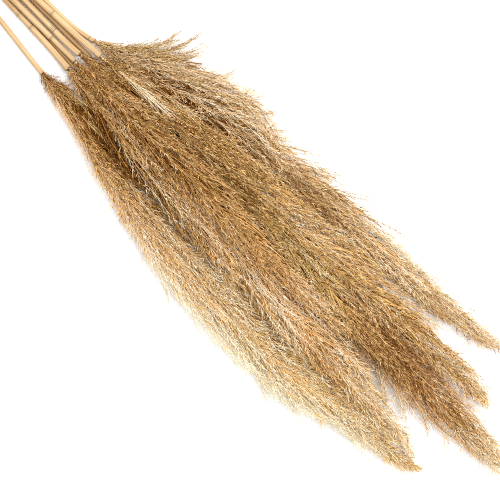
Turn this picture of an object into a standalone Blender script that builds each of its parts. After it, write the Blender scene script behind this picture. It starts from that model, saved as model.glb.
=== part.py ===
"""A loose bunch of eight dried reeds, laid down on a flat surface.

The bunch lies along X: the cut ends of the stems are at -X and the tips of the plumes at
+X, and +Z is up. The stems are drawn together about 0.2 m behind the plumes and fan out
from there, so the plumes overlap in a low heap, five on the surface and three on top.
Every reed is a round stem and a plume. A plume is a closed loft around its own axis: a
soft oval as far as it is free, cut back where it presses on a neighbour or the surface.
"""

import math

import bmesh
import bpy
from mathutils import Vector

# ---------------------------------------------------------------- driving dimensions, metres
BUNCH_CENTRE_X = 0.0495      # middle of the bunch's box, from the plumes' common base line
BUNCH_CENTRE_Y = -0.0041

STATION_START = -0.0060      # the plumes are cut into sections at these common places
STATION_STEP = 0.0165
SECTION_SIDES = 20

FLATNESS = 1.9               # width over height of a full plume's oval
FLATTEN_LENGTH = 0.080       # a plume is round at its base and oval from here on
PLUME_GAP = 0.0012           # between two plumes that press on each other
CORE_RADIUS = 0.0015         # no neighbour presses a plume thinner than this
STEM_GAP = 0.0004            # between a stem's end and its plume

LOCK_STATIONS = 4            # a lock of hair is this many sections long
LOCK_DEPTH = 0.24            # how far a lock's root lies below its tip, over the radius
LOCK_START = 0.030           # the locks have their full depth this far from the base

STEM_POINT_STEP = 0.045      # a stem is drawn with a point about this often
NODE_RISE = 0.00028          # a node ring stands this far above its stem
NODE_HALF_LENGTH = 0.0016
SHEATH_STEP = 0.0008         # the edge of a leaf sheath drops over this length
POINT_CLEARANCE = 0.0060     # no plain stem point closer than this to a ring or an edge

SMOOTH_ANGLE = math.radians(32)

# Stem and plume colours: linear red, green and blue.
STRAW = (0.74, 0.53, 0.26)
SHADED_STRAW = (0.60, 0.41, 0.19)
GOLDEN = (0.56, 0.36, 0.15)
TAN = (0.45, 0.27, 0.11)
OLIVE = (0.38, 0.27, 0.12)
BROWN = (0.36, 0.19, 0.07)
STEM_ROUGHNESS = 0.45
PLUME_ROUGHNESS = 0.85

# One entry for each reed, from the -Y side of the bunch to the +Y side.
#   stem    points of the stem's centre line, from the cut end to the plume: (x, y, z)
#   plume   sections of the plume: (x, y, z, half width)
#   radius  the stem's radius inside its leaf sheath, and above the sheath
#   sheath  where the leaf sheath ends
#   node    the last node ring, and the distance from one ring to the next
REEDS = [
    {
        "stem": [(-0.343, -0.0042, 0.0024), (-0.200, -0.0012, 0.0024), (-0.060, -0.0150, 0.0028)],
        "plume": [
            (-0.009, -0.0226, 0.0038, 0.0022), (0.000, -0.0236, 0.0055, 0.0060),
            (0.012, -0.0246, 0.0075, 0.0095), (0.040, -0.0305, 0.0095, 0.0130),
            (0.100, -0.0460, 0.0115, 0.0195), (0.160, -0.0560, 0.0115, 0.0240),
            (0.230, -0.0610, 0.0115, 0.0265), (0.290, -0.0605, 0.0115, 0.0260),
            (0.330, -0.0560, 0.0110, 0.0170), (0.365, -0.0530, 0.0095, 0.0130),
            (0.388, -0.0505, 0.0070, 0.0075), (0.404, -0.0475, 0.0050, 0.0015),
        ],
        "radius": (0.00205, 0.00205), "sheath": -0.090, "node": (-0.120, 0.110),
        "stem_colour": STRAW, "plume_colour": GOLDEN,
    },
    {
        "stem": [(-0.352, 0.0028, 0.0025), (-0.200, 0.0046, 0.0026), (-0.060, -0.0014, 0.0038)],
        "plume": [
            (0.003, -0.0070, 0.0065, 0.0025), (0.012, -0.0084, 0.0085, 0.0048),
            (0.025, -0.0100, 0.0115, 0.0080), (0.050, -0.0130, 0.0160, 0.0130),
            (0.110, -0.0175, 0.0220, 0.0200), (0.170, -0.0205, 0.0250, 0.0215),
            (0.240, -0.0240, 0.0250, 0.0210), (0.300, -0.0300, 0.0220, 0.0170),
            (0.352, -0.0350, 0.0170, 0.0015),
        ],
        "radius": (0.00215, 0.00245), "sheath": -0.040, "node": (-0.053, 0.125),
        "stem_colour": STRAW, "plume_colour": TAN,
    },
    {
        "stem": [(-0.347, 0.0091, 0.0024), (-0.200, 0.0096, 0.0024), (-0.060, 0.0036, 0.0024)],
        "plume": [
            (0.008, -0.0030, 0.0032, 0.0019), (0.018, -0.0040, 0.0048, 0.0050),
            (0.050, -0.0090, 0.0080, 0.0105), (0.110, -0.0180, 0.0110, 0.0180),
            (0.170, -0.0250, 0.0120, 0.0220), (0.240, -0.0300, 0.0120, 0.0230),
            (0.310, -0.0335, 0.0120, 0.0195), (0.350, -0.0370, 0.0105, 0.0130),
            (0.376, -0.0400, 0.0080, 0.0080), (0.393, -0.0425, 0.0060, 0.0015),
        ],
        "radius": (0.00205, 0.00190), "sheath": -0.120, "node": (-0.090, 0.120),
        "stem_colour": SHADED_STRAW, "plume_colour": GOLDEN,
    },
    {
        "stem": [(-0.339, 0.0060, 0.0069), (-0.200, 0.0071, 0.0069), (-0.060, 0.0029, 0.0079)],
        "plume": [
            (0.003, 0.0008, 0.0078, 0.00175), (0.013, 0.0006, 0.0105, 0.0048),
            (0.045, -0.0010, 0.0200, 0.0100), (0.090, -0.0030, 0.0290, 0.0150),
            (0.150, -0.0050, 0.0340, 0.0180), (0.210, -0.0080, 0.0340, 0.0150),
            (0.290, -0.0110, 0.0290, 0.0015),
        ],
        "radius": (0.00215, 0.00175), "sheath": -0.023, "node": (-0.100, 0.115),
        "stem_colour": STRAW, "plume_colour": TAN,
    },
    {
        "stem": [(-0.350, 0.0121, 0.0069), (-0.200, 0.0120, 0.0069), (-0.060, 0.0086, 0.0054)],
        "plume": [
            (0.002, 0.0069, 0.0077, 0.0024), (0.012, 0.0075, 0.0100, 0.0048),
            (0.050, 0.0090, 0.0170, 0.0115), (0.110, 0.0100, 0.0230, 0.0180),
            (0.170, 0.0100, 0.0250, 0.0195), (0.240, 0.0070, 0.0250, 0.0190),
            (0.300, 0.0020, 0.0230, 0.0150), (0.350, -0.0040, 0.0180, 0.0015),
        ],
        "radius": (0.00215, 0.00235), "sheath": -0.025, "node": (-0.027, 0.130),
        "stem_colour": STRAW, "plume_colour": OLIVE,
    },
    {
        "stem": [(-0.355, 0.0152, 0.0024), (-0.200, 0.0145, 0.0024), (-0.060, 0.0132, 0.0026)],
        "plume": [
            (0.009, 0.0110, 0.0040, 0.0021), (0.019, 0.0108, 0.0052, 0.0052),
            (0.050, 0.0100, 0.0080, 0.0110), (0.110, 0.0080, 0.0110, 0.0190),
            (0.170, 0.0060, 0.0120, 0.0230), (0.240, 0.0040, 0.0120, 0.0230),
            (0.310, 0.0035, 0.0120, 0.0215), (0.370, 0.0005, 0.0120, 0.0205),
            (0.405, 0.0005, 0.0105, 0.0165), (0.434, -0.0015, 0.0085, 0.0095),
            (0.454, -0.0025, 0.0060, 0.0015),
        ],
        "radius": (0.00205, 0.00205), "sheath": -0.150, "node": (-0.110, 0.120),
        "stem_colour": SHADED_STRAW, "plume_colour": BROWN,
    },
    {
        "stem": [(-0.344, 0.0186, 0.0070), (-0.200, 0.0172, 0.0070), (-0.060, 0.0157, 0.0072)],
        "plume": [
            (0.015, 0.0167, 0.0100, 0.00235), (0.025, 0.0173, 0.0118, 0.0050),
            (0.060, 0.0205, 0.0170, 0.0115), (0.120, 0.0230, 0.0200, 0.0175),
            (0.180, 0.0260, 0.0210, 0.0195), (0.250, 0.0270, 0.0210, 0.0190),
            (0.310, 0.0275, 0.0190, 0.0165), (0.345, 0.0270, 0.0155, 0.0130),
            (0.382, 0.0270, 0.0115, 0.0095), (0.409, 0.0235, 0.0070, 0.0015),
        ],
        "radius": (0.00225, 0.00235), "sheath": -0.035, "node": (-0.085, 0.125),
        "stem_colour": STRAW, "plume_colour": GOLDEN,
    },
    {
        "stem": [(-0.348, 0.0212, 0.0023), (-0.200, 0.0194, 0.0023), (-0.060, 0.0194, 0.0027)],
        "plume": [
            (0.003, 0.0222, 0.0043, 0.0019), (0.012, 0.0248, 0.0058, 0.0048),
            (0.030, 0.0310, 0.0090, 0.0115), (0.065, 0.0430, 0.0115, 0.0225),
            (0.110, 0.0510, 0.0115, 0.0270), (0.132, 0.0520, 0.0115, 0.0270),
            (0.153, 0.0485, 0.0115, 0.0175), (0.190, 0.0500, 0.0115, 0.0220),
            (0.225, 0.0510, 0.0115, 0.0215), (0.260, 0.0520, 0.0110, 0.0195),
            (0.310, 0.0535, 0.0100, 0.0130), (0.345, 0.0555, 0.0085, 0.0090),
            (0.368, 0.0580, 0.0070, 0.0065), (0.388, 0.0610, 0.0050, 0.0015),
        ],
        "radius": (0.00195, 0.00185), "sheath": -0.002, "node": (-0.130, 0.110),
        "stem_colour": STRAW, "plume_colour": TAN,
    },
]


# ---------------------------------------------------------------- smooth curves through points
def smooth(keys, x):
    """The value at x of a smooth curve through keys, which are (x, value) pairs in order."""
    if x <= keys[0][0]:
        return keys[0][1]
    if x >= keys[-1][0]:
        return keys[-1][1]
    i = max(n for n, key in enumerate(keys) if key[0] <= x)
    (x0, v0), (x1, v1) = keys[i], keys[i + 1]
    before = keys[max(i - 1, 0)]
    after = keys[min(i + 2, len(keys) - 1)]
    slope0 = (v1 - before[1]) / (x1 - before[0])
    slope1 = (after[1] - v0) / (after[0] - x0)
    span = x1 - x0
    t = (x - x0) / span
    return (
        v0 * (1 + 2 * t) * (1 - t) ** 2
        + v1 * t * t * (3 - 2 * t)
        + span * t * (1 - t) * (slope0 * (1 - t) - slope1 * t)
    )


def base_of(reed):
    return reed["plume"][0][0]


def tip_of(reed):
    return reed["plume"][-1][0]


def centre(reed, x):
    """The middle of the reed's stem or plume at x, as y and z."""
    points = reed["stem"] + [point[:3] for point in reed["plume"]]
    y = smooth([(p[0], p[1]) for p in points], x)
    z = smooth([(p[0], p[2]) for p in points], x)
    return y, z


def stem_radius(reed, x):
    inside, above = reed["radius"]
    return inside if x < reed["sheath"] else above


def half_width(reed, x):
    return smooth([(p[0], p[3]) for p in reed["plume"]], x)


# ---------------------------------------------------------------- plumes
def flatness(x):
    """How much wider than high every plume is at x."""
    t = min(max(x / FLATTEN_LENGTH, 0.0), 1.0)
    return 1.0 + (FLATNESS - 1.0) * t * t * (3 - 2 * t)


def section(reed, x):
    """The reed's free section at x: y, the z of a space where ovals are circles, and radius."""
    if x > tip_of(reed) + STATION_STEP:
        return None
    y, z = centre(reed, x)
    is_stem = x < base_of(reed)
    radius = stem_radius(reed, x) if is_stem else half_width(reed, x)
    return Vector((y, z * flatness(x))), radius


def lock_factor(number, station, x, side, ray):
    """The share of the free radius that the plume's hair reaches at one corner.

    Two neighbouring corners are half a lock apart. The locks fade out towards the plume's
    root, and on its underside, where its own weight presses them flat.
    """
    phase = (station + number + (side % 2) * (LOCK_STATIONS // 2)) % LOCK_STATIONS
    depth = LOCK_DEPTH * min((x - base_of(REEDS[number])) / LOCK_START, 1.0)
    depth *= 1.0 - max(-ray.y, 0.0)
    return 1.0 - depth * (1.0 - phase / (LOCK_STATIONS - 1))


def plume_ring(number, station, x):
    """The corners of one plume's section at x, cut back by its neighbours and the surface."""
    reed = REEDS[number]
    middle, radius = section(reed, x)
    planes = []
    for other_number, other in enumerate(REEDS):
        found = section(other, x)
        if other_number == number or found is None:
            continue
        towards = found[0] - middle
        distance = towards.length
        share = (distance ** 2 + radius ** 2 - found[1] ** 2) / (2 * distance)
        share = min(max(share, CORE_RADIUS), distance - CORE_RADIUS)
        if x < base_of(other):
            share = min(share, distance - found[1] - PLUME_GAP / 2)
        planes.append((towards / distance, share - PLUME_GAP / 2))
    ring = []
    for side in range(SECTION_SIDES):
        angle = 2 * math.pi * (side + 0.5) / SECTION_SIDES
        ray = Vector((math.cos(angle), math.sin(angle)))
        reach = radius * lock_factor(number, station, x, side, ray)
        for normal, limit in planes:
            if ray.dot(normal) > 1e-6:
                reach = min(reach, limit / ray.dot(normal))
        if ray.y < 0:
            reach = min(reach, middle.y / -ray.y)
        corner = middle + ray * reach
        ring.append(Vector((x, corner.x, corner.y / flatness(x))))
    return ring


def make_plume(number):
    """A closed loft through the plume's sections, from its stem to a pointed tip."""
    reed = REEDS[number]
    base, tip = base_of(reed), tip_of(reed)
    places = [(0, base)]
    station = 0
    while STATION_START + station * STATION_STEP < tip - STATION_STEP / 3:
        x = STATION_START + station * STATION_STEP
        if x > base + STATION_STEP / 3:
            places.append((station, x))
        station += 1
    bm = bmesh.new()
    rings = [[bm.verts.new(p) for p in plume_ring(number, n, x)] for n, x in places]
    for ring, following in zip(rings, rings[1:]):
        for side in range(SECTION_SIDES):
            after = (side + 1) % SECTION_SIDES
            bm.faces.new((ring[side], ring[after], following[after], following[side]))
    ends = [(rings[0], Vector((base, *centre(reed, base))))]
    ends.append((rings[-1], Vector((tip, *centre(reed, tip)))))
    for ring, point in ends:
        middle = bm.verts.new(point)
        for side in range(SECTION_SIDES):
            bm.faces.new((ring[side], ring[(side + 1) % SECTION_SIDES], middle))
    bmesh.ops.triangulate(bm, faces=bm.faces)
    bmesh.ops.recalc_face_normals(bm, faces=bm.faces)
    mesh = bpy.data.meshes.new(f"plume_{number + 1}")
    bm.to_mesh(mesh)
    bm.free()
    mesh.shade_smooth()
    mesh.set_sharp_from_angle(angle=SMOOTH_ANGLE)
    return bpy.data.objects.new(f"plume_{number + 1}", mesh)


# ---------------------------------------------------------------- stems
def stem_points(reed):
    """Where the stem's line has a point, with the radius there: plain, node rings and sheath."""
    start, end = reed["stem"][0][0], base_of(reed) - STEM_GAP
    special = []
    ring, spacing = reed["node"]
    while ring > start + POINT_CLEARANCE:
        plain = stem_radius(reed, ring)
        special.append((ring - NODE_HALF_LENGTH, plain))
        special.append((ring, plain + NODE_RISE))
        special.append((ring + NODE_HALF_LENGTH, plain))
        ring -= spacing
    edge = reed["sheath"]
    special.append((edge, reed["radius"][0]))
    special.append((edge + SHEATH_STEP, reed["radius"][1]))
    count = round((end - start) / STEM_POINT_STEP)
    even = [start + (end - start) * n / count for n in range(count + 1)]
    inner = [x for x in even[1:-1] if all(abs(x - s[0]) > POINT_CLEARANCE for s in special)]
    points = special + [(x, stem_radius(reed, x)) for x in [start, *inner, end]]
    return sorted(points)


def make_stem(number):
    """A round stem along its own line, with node rings and the edge of its leaf sheath."""
    reed = REEDS[number]
    points = stem_points(reed)
    curve = bpy.data.curves.new(f"stem_{number + 1}", "CURVE")
    curve.dimensions = "3D"
    curve.bevel_depth = reed["radius"][0]
    curve.bevel_resolution = 2
    curve.use_fill_caps = True
    spline = curve.splines.new("POLY")
    spline.points.add(len(points) - 1)
    for point, (x, radius) in zip(spline.points, points):
        point.co = (x, *centre(reed, x), 1.0)
        point.radius = radius / curve.bevel_depth
    return bpy.data.objects.new(f"stem_{number + 1}", curve)


# ---------------------------------------------------------------- the bunch
def make_material(name, colour, roughness):
    material = bpy.data.materials.new(name)
    material.use_nodes = True
    shader = material.node_tree.nodes["Principled BSDF"]
    shader.inputs["Base Color"].default_value = (*colour, 1.0)
    shader.inputs["Roughness"].default_value = roughness
    shader.inputs["Metallic"].default_value = 0.0
    material.diffuse_color = (*colour, 1.0)
    return material


def main():
    for old in list(bpy.data.objects):
        bpy.data.objects.remove(old, do_unlink=True)
    collection = bpy.data.collections.new("bunch_of_reeds")
    bpy.context.scene.collection.children.link(collection)
    frame = bpy.data.objects.new("bunch_frame", None)
    frame.location = (-BUNCH_CENTRE_X, -BUNCH_CENTRE_Y, 0.0)
    collection.objects.link(frame)
    for number, reed in enumerate(REEDS):
        stem = make_stem(number)
        stem.data.materials.append(
            make_material(f"stem_{number + 1}_straw", reed["stem_colour"], STEM_ROUGHNESS)
        )
        plume = make_plume(number)
        plume.data.materials.append(
            make_material(f"plume_{number + 1}_hair", reed["plume_colour"], PLUME_ROUGHNESS)
        )
        for piece in (stem, plume):
            collection.objects.link(piece)
            piece.parent = frame


main()
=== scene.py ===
# %% [markdown]
# # A bunch of dried reeds, laid down
#
# Eight dried reeds lie on a white table. Each is one straw-coloured stem that ends in a
# feathery plume, and the plumes overlap in a low heap. The stems and the outer form of each
# plume come from the CAD model. This lesson turns those smooth forms into what the eye sees:
# ribbed straws, and about two hundred thousand tiny husks on fine branches.
#
# The first cell loads the CAD model as a fixed frame. Everything after it is in metres, in
# the model's own place, so nothing has to be moved into position later.

# %% Load the frame
import math

import bmesh
import bpy
import numpy as np
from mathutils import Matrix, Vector


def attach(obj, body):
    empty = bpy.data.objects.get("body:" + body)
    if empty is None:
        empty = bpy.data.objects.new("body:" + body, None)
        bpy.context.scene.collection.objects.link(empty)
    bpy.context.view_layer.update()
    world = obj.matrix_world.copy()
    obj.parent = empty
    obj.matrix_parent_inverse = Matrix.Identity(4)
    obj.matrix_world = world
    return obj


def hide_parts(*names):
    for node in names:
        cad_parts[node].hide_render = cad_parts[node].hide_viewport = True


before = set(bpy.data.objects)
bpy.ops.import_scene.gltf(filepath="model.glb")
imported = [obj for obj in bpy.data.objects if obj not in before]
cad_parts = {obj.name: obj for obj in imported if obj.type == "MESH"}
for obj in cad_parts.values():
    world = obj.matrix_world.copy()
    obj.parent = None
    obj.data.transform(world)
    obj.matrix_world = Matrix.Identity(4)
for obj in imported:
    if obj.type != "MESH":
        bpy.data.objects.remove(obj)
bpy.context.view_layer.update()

# %% [markdown]
# ## Where the reeds lie
#
# The CAD model's own numbers are repeated here, because the hair has to fill the space that
# it gives each plume. Every row is one station along a reed, in millimetres: how far along
# the bunch it is, how far across, how high, and half the plume's width there. The table
# could also be measured from the CAD meshes, but a few named numbers are easier to read and
# to change than code that searches for them.

# %% The eight reeds
BUNCH_CENTRE = Vector((0.0495, -0.0041, 0.0))
MM_IN_M = 1000
REEDS = {
    1: {
        "stem": [(-343, -4.2, 2.4), (-200, -1.2, 2.4), (-60, -15.0, 2.8)],
        "plume": [
            (-9, -22.6, 3.8, 2.2), (0, -23.6, 5.5, 6.0), (12, -24.6, 7.5, 9.5),
            (40, -30.5, 9.5, 13.0), (100, -46.0, 11.5, 19.5), (160, -56.0, 11.5, 24.0),
            (230, -61.0, 11.5, 26.5), (290, -60.5, 11.5, 26.0), (330, -56.0, 11.0, 17.0),
            (365, -53.0, 9.5, 13.0), (388, -50.5, 7.0, 7.5), (404, -47.5, 5.0, 1.5),
        ],
    },
    2: {
        "stem": [(-352, 2.8, 2.5), (-200, 4.6, 2.6), (-60, -1.4, 3.8)],
        "plume": [
            (3, -7.0, 6.5, 2.5), (12, -8.4, 8.5, 4.8), (25, -10.0, 11.5, 8.0),
            (50, -13.0, 16.0, 13.0), (110, -17.5, 22.0, 20.0), (170, -20.5, 25.0, 21.5),
            (240, -24.0, 25.0, 21.0), (300, -30.0, 22.0, 17.0), (352, -35.0, 17.0, 1.5),
        ],
    },
    3: {
        "stem": [(-347, 9.1, 2.4), (-200, 9.6, 2.4), (-60, 3.6, 2.4)],
        "plume": [
            (8, -3.0, 3.2, 1.9), (18, -4.0, 4.8, 5.0), (50, -9.0, 8.0, 10.5),
            (110, -18.0, 11.0, 18.0), (170, -25.0, 12.0, 22.0), (240, -30.0, 12.0, 23.0),
            (310, -33.5, 12.0, 19.5), (350, -37.0, 10.5, 13.0), (376, -40.0, 8.0, 8.0),
            (393, -42.5, 6.0, 1.5),
        ],
    },
    4: {
        "stem": [(-339, 6.0, 6.9), (-200, 7.1, 6.9), (-60, 2.9, 7.9)],
        "plume": [
            (3, 0.8, 7.8, 1.75), (13, 0.6, 10.5, 4.8), (45, -1.0, 20.0, 10.0),
            (90, -3.0, 29.0, 15.0), (150, -5.0, 34.0, 18.0), (210, -8.0, 34.0, 15.0),
            (290, -11.0, 29.0, 1.5),
        ],
    },
    5: {
        "stem": [(-350, 12.1, 6.9), (-200, 12.0, 6.9), (-60, 8.6, 5.4)],
        "plume": [
            (2, 6.9, 7.7, 2.4), (12, 7.5, 10.0, 4.8), (50, 9.0, 17.0, 11.5),
            (110, 10.0, 23.0, 18.0), (170, 10.0, 25.0, 19.5), (240, 7.0, 25.0, 19.0),
            (300, 2.0, 23.0, 15.0), (350, -4.0, 18.0, 1.5),
        ],
    },
    6: {
        "stem": [(-355, 15.2, 2.4), (-200, 14.5, 2.4), (-60, 13.2, 2.6)],
        "plume": [
            (9, 11.0, 4.0, 2.1), (19, 10.8, 5.2, 5.2), (50, 10.0, 8.0, 11.0),
            (110, 8.0, 11.0, 19.0), (170, 6.0, 12.0, 23.0), (240, 4.0, 12.0, 23.0),
            (310, 3.5, 12.0, 21.5), (370, 0.5, 12.0, 20.5), (405, 0.5, 10.5, 16.5),
            (434, -1.5, 8.5, 9.5), (454, -2.5, 6.0, 1.5),
        ],
    },
    7: {
        "stem": [(-344, 18.6, 7.0), (-200, 17.2, 7.0), (-60, 15.7, 7.2)],
        "plume": [
            (15, 16.7, 10.0, 2.35), (25, 17.3, 11.8, 5.0), (60, 20.5, 17.0, 11.5),
            (120, 23.0, 20.0, 17.5), (180, 26.0, 21.0, 19.5), (250, 27.0, 21.0, 19.0),
            (310, 27.5, 19.0, 16.5), (345, 27.0, 15.5, 13.0), (382, 27.0, 11.5, 9.5),
            (409, 23.5, 7.0, 1.5),
        ],
    },
    8: {
        "stem": [(-348, 21.2, 2.3), (-200, 19.4, 2.3), (-60, 19.4, 2.7)],
        "plume": [
            (3, 22.2, 4.3, 1.9), (12, 24.8, 5.8, 4.8), (30, 31.0, 9.0, 11.5),
            (65, 43.0, 11.5, 22.5), (110, 51.0, 11.5, 27.0), (132, 52.0, 11.5, 27.0),
            (153, 48.5, 11.5, 17.5), (190, 50.0, 11.5, 22.0), (225, 51.0, 11.5, 21.5),
            (260, 52.0, 11.0, 19.5), (310, 53.5, 10.0, 13.0), (345, 55.5, 8.5, 9.0),
            (368, 58.0, 7.0, 6.5), (388, 61.0, 5.0, 1.5),
        ],
    },
}
for reed in REEDS.values():
    for key in ("stem", "plume"):
        reed[key] = np.array(reed[key]) / MM_IN_M
    reed["line"] = np.vstack([reed["stem"], reed["plume"][:, :3]])
print("reeds:", len(REEDS), "the longest plume is",
      round(max(np.ptp(r["plume"][:, 0]) for r in REEDS.values()), 3), "m")

# %% [markdown]
# ## Smooth lines and the room that each plume has
#
# `smooth` draws a soft curve through a column of the table. `reach` answers one question:
# from the middle of a plume, how far may its hair go in this direction before it meets its
# own outline, the table or a neighbour's hair? It is the rule that shaped the CAD plumes, so
# branches that keep to it lie in the solids. Some low and outer branches are later given a
# little more than that, so that the hair ends in a soft edge.
#
# A plume that lies down is an oval, wider than it is high. The sums are easier on a circle,
# so heights are stretched by the plume's flatness first, and pressed back at the end.

# %% Smooth lines and reach
FLATNESS, FLATTEN_LENGTH = 1.9, 0.080     # width over height, from this far along the bunch
PRESSED_GAP, CORE = -0.0020, 0.0015       # pressed hair mingles, but each plume has a core
THINNEST_TIP, TIPS_FROM = 0.0045, 0.1     # the least room near a tip, and where that begins
SPRIGS_PAST, FULL_RADIUS = 0.0012, 0.015  # what sprigs add to a branch, where it is full
STEM_RADIUS, FALL_PAST_TIP = 0.0022, 10
OPEN_AIR, SIDEWAYS = 1.0, 1e-3            # nothing in the way, and hardly towards a thing


def smooth(x, places, values):
    """The values at x of a smooth curve through values at places."""
    slopes = np.gradient(values, places)
    i = np.clip(np.searchsorted(places, x) - 1, 0, len(places) - 2)
    span = places[i + 1] - places[i]
    t = np.clip((x - places[i]) / span, 0, 1)
    bend = slopes[i] * (1 - t) - slopes[i + 1] * t
    return (values[i] * (1 + 2 * t) * (1 - t) ** 2 + values[i + 1] * t * t * (3 - 2 * t)
            + span * t * (1 - t) * bend)


def flatness(x):
    """How many times wider than high a plume is at x. A plume's foot is still round."""
    t = np.clip(x / FLATTEN_LENGTH, 0, 1)
    return 1 + (FLATNESS - 1) * t * t * (3 - 2 * t)


def middle_of(reed, x):
    """The middle of a reed at x: y, and z stretched until the plume's oval is a circle."""
    line = reed["line"]
    y = smooth(x, line[:, 0], line[:, 1])
    z = smooth(x, line[:, 0], line[:, 2])
    return y, z * flatness(x)


def radius_of(reed, x):
    """Half a reed's width at x: the stem's, then the plume's. Past the tip it is below 0."""
    plume = reed["plume"]
    inside = smooth(x, plume[:, 0], plume[:, 3])
    past_tip = np.maximum(x - plume[-1, 0], 0)
    free = np.where(x < plume[0, 0], STEM_RADIUS,
                    np.maximum(inside, THINNEST_TIP * (x > TIPS_FROM)))
    return free - past_tip * FALL_PAST_TIP


def reach(number, x, angle):
    """How far from its middle plume number may go at x, in the stretched space."""
    y, z = middle_of(REEDS[number], x)
    radius = radius_of(REEDS[number], x)
    ray_y, ray_z = np.cos(angle), np.sin(angle)
    sprigs_take = SPRIGS_PAST * np.clip(radius / FULL_RADIUS, 0, 1)
    far = np.maximum(radius - sprigs_take, THINNEST_TIP)
    for other_number, other in REEDS.items():
        if other_number == number:
            continue
        other_y, other_z = middle_of(other, x)
        other_radius = radius_of(other, x)
        apart = np.hypot(other_y - y, other_z - z)
        towards = (ray_y * (other_y - y) + ray_z * (other_z - z)) / apart
        share = (apart ** 2 + radius ** 2 - other_radius ** 2) / (2 * apart)
        share = np.clip(share, CORE, apart - CORE) - PRESSED_GAP
        limit = np.where(towards > SIDEWAYS, share / np.maximum(towards, SIDEWAYS), OPEN_AIR)
        far = np.where(other_radius > 0, np.minimum(far, limit), far)
    floor = np.where(ray_z < -SIDEWAYS, z / np.maximum(-ray_z, SIDEWAYS), OPEN_AIR)
    return np.minimum(far, floor)


station = np.array([0.15])
print("plume 2 may reach up", reach(2, station, np.array([math.pi / 2])).round(4),
      "and down", reach(2, station, np.array([-math.pi / 2])).round(4))

# %% [markdown]
# ## The colour of dry husks
#
# A dried plume is never one colour. Husk tips are pale straw, their roots are brown, and some
# plumes lean to red and some to olive. The brown also stands for shade: the inside of a plume
# and its shaded side are coloured brown as painted shade. One shader group holds that rule.
# It takes two numbers from each husk's UV map: how light the husk is, across the map, and how
# far it leans from red to green, up the map. Nothing else in the material changes over the
# surface, so one small map colours every husk, however many there are. A painted picture
# could colour them too, but a rule is smaller and easy to change.

# %% The husk colour group
def new_socket(group, kind, name, value=None, out=False):
    socket = group.interface.new_socket(
        name, in_out="OUTPUT" if out else "INPUT", socket_type=f"NodeSocket{kind}")
    if value is not None:
        socket.default_value = value
    return socket


husk = bpy.data.node_groups.new("Husk colour", "ShaderNodeTree")
new_socket(husk, "Color", "Shade", (0.10, 0.045, 0.015, 1))
new_socket(husk, "Color", "Body", (0.55, 0.33, 0.13, 1))
new_socket(husk, "Color", "Straw", (0.90, 0.72, 0.44, 1))
new_socket(husk, "Color", "Colour", out=True)
taken = husk.nodes.new("NodeGroupInput")
given = husk.nodes.new("NodeGroupOutput")
where = husk.nodes.new("ShaderNodeUVMap")
where.uv_map = "OFBake"
split = husk.nodes.new("ShaderNodeSeparateXYZ")
husk.links.new(where.outputs["UV"], split.inputs[0])


def socket_of(sockets, identifier):
    return next(s for s in sockets if s.identifier == identifier)


def mixed(group, factor, start, end, blend="MIX"):
    """A colour between start and end. Each may be a number, a colour or another node's socket."""
    mix = group.nodes.new("ShaderNodeMix")
    mix.data_type, mix.blend_type = "RGBA", blend
    for identifier, value in (("Factor_Float", factor), ("A_Color", start), ("B_Color", end)):
        socket = socket_of(mix.inputs, identifier)
        if isinstance(value, bpy.types.NodeSocket):
            group.links.new(value, socket)
        else:
            socket.default_value = value
    return socket_of(mix.outputs, "Result_Color")


def ramp(group, value, low, high):
    """A soft step from 0 to 1 as value goes from low to high."""
    step = group.nodes.new("ShaderNodeMapRange")
    step.interpolation_type = "SMOOTHSTEP"
    step.inputs["From Min"].default_value = low
    step.inputs["From Max"].default_value = high
    group.links.new(value, step.inputs["Value"])
    return step.outputs["Result"]


REDDISH, GREENISH = (1.0, 0.90, 0.82, 1), (0.93, 1.0, 0.92, 1)
lightness, greenness = split.outputs["X"], split.outputs["Y"]
dark = mixed(husk, ramp(husk, lightness, 0.0, 0.5), taken.outputs["Shade"],
             taken.outputs["Body"])
light = mixed(husk, ramp(husk, lightness, 0.5, 1.0), dark, taken.outputs["Straw"])
cast = mixed(husk, ramp(husk, greenness, 0.0, 1.0), REDDISH, GREENISH)
husk.links.new(mixed(husk, 1.0, light, cast, "MULTIPLY"), given.inputs["Colour"])
print("husk colour group:", len(husk.nodes), "nodes")

# %% Materials for the plumes
HUSK_ROUGHNESS, HUSK_SHINE = 0.65, 0.06


def husk_material(name, shade, body, straw):
    material = bpy.data.materials.new(name)
    material.use_nodes = True
    nodes, links = material.node_tree.nodes, material.node_tree.links
    shader = nodes["Principled BSDF"]
    colour = nodes.new("ShaderNodeGroup")
    colour.node_tree = husk
    for socket, value in (("Shade", shade), ("Body", body), ("Straw", straw)):
        colour.inputs[socket].default_value = (*value, 1)
    links.new(colour.outputs["Colour"], shader.inputs["Base Color"])
    shader.inputs["Roughness"].default_value = HUSK_ROUGHNESS
    shader.inputs["Specular IOR Level"].default_value = HUSK_SHINE
    return material


DARK = (0.145, 0.050, 0.004)
PALE = (0.88, 0.81, 0.68)
hair_materials = {
    "golden": husk_material("golden_husks", DARK, (0.78, 0.50, 0.20), PALE),
    "tan": husk_material("tan_husks", DARK, (0.75, 0.455, 0.175), PALE),
    "olive": husk_material("olive_husks", DARK, (0.72, 0.48, 0.195), (0.87, 0.80, 0.64)),
    "brown": husk_material("brown_husks", DARK, (0.70, 0.385, 0.15), (0.90, 0.80, 0.67)),
    "faded": husk_material("faded_husks", DARK, (0.77, 0.51, 0.25), PALE),
}
print("plume materials:", ", ".join(hair_materials))

# %% [markdown]
# ## A sprig of husks
#
# Up close, a plume is made of sprigs: a thread-thin twig with small pointed husks on it.
# Flat cards with a picture on them are a quick way to make such things, but they vanish when
# they are seen from the side. The render shows a husk as a stroke one or two pixels wide, so
# here each is a closed form of only four faces: two pointed ends, and a middle with a width
# and a thickness. Six kinds of sprig, made with different seeds, are enough, because each is
# turned and sized differently when it is placed.

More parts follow.
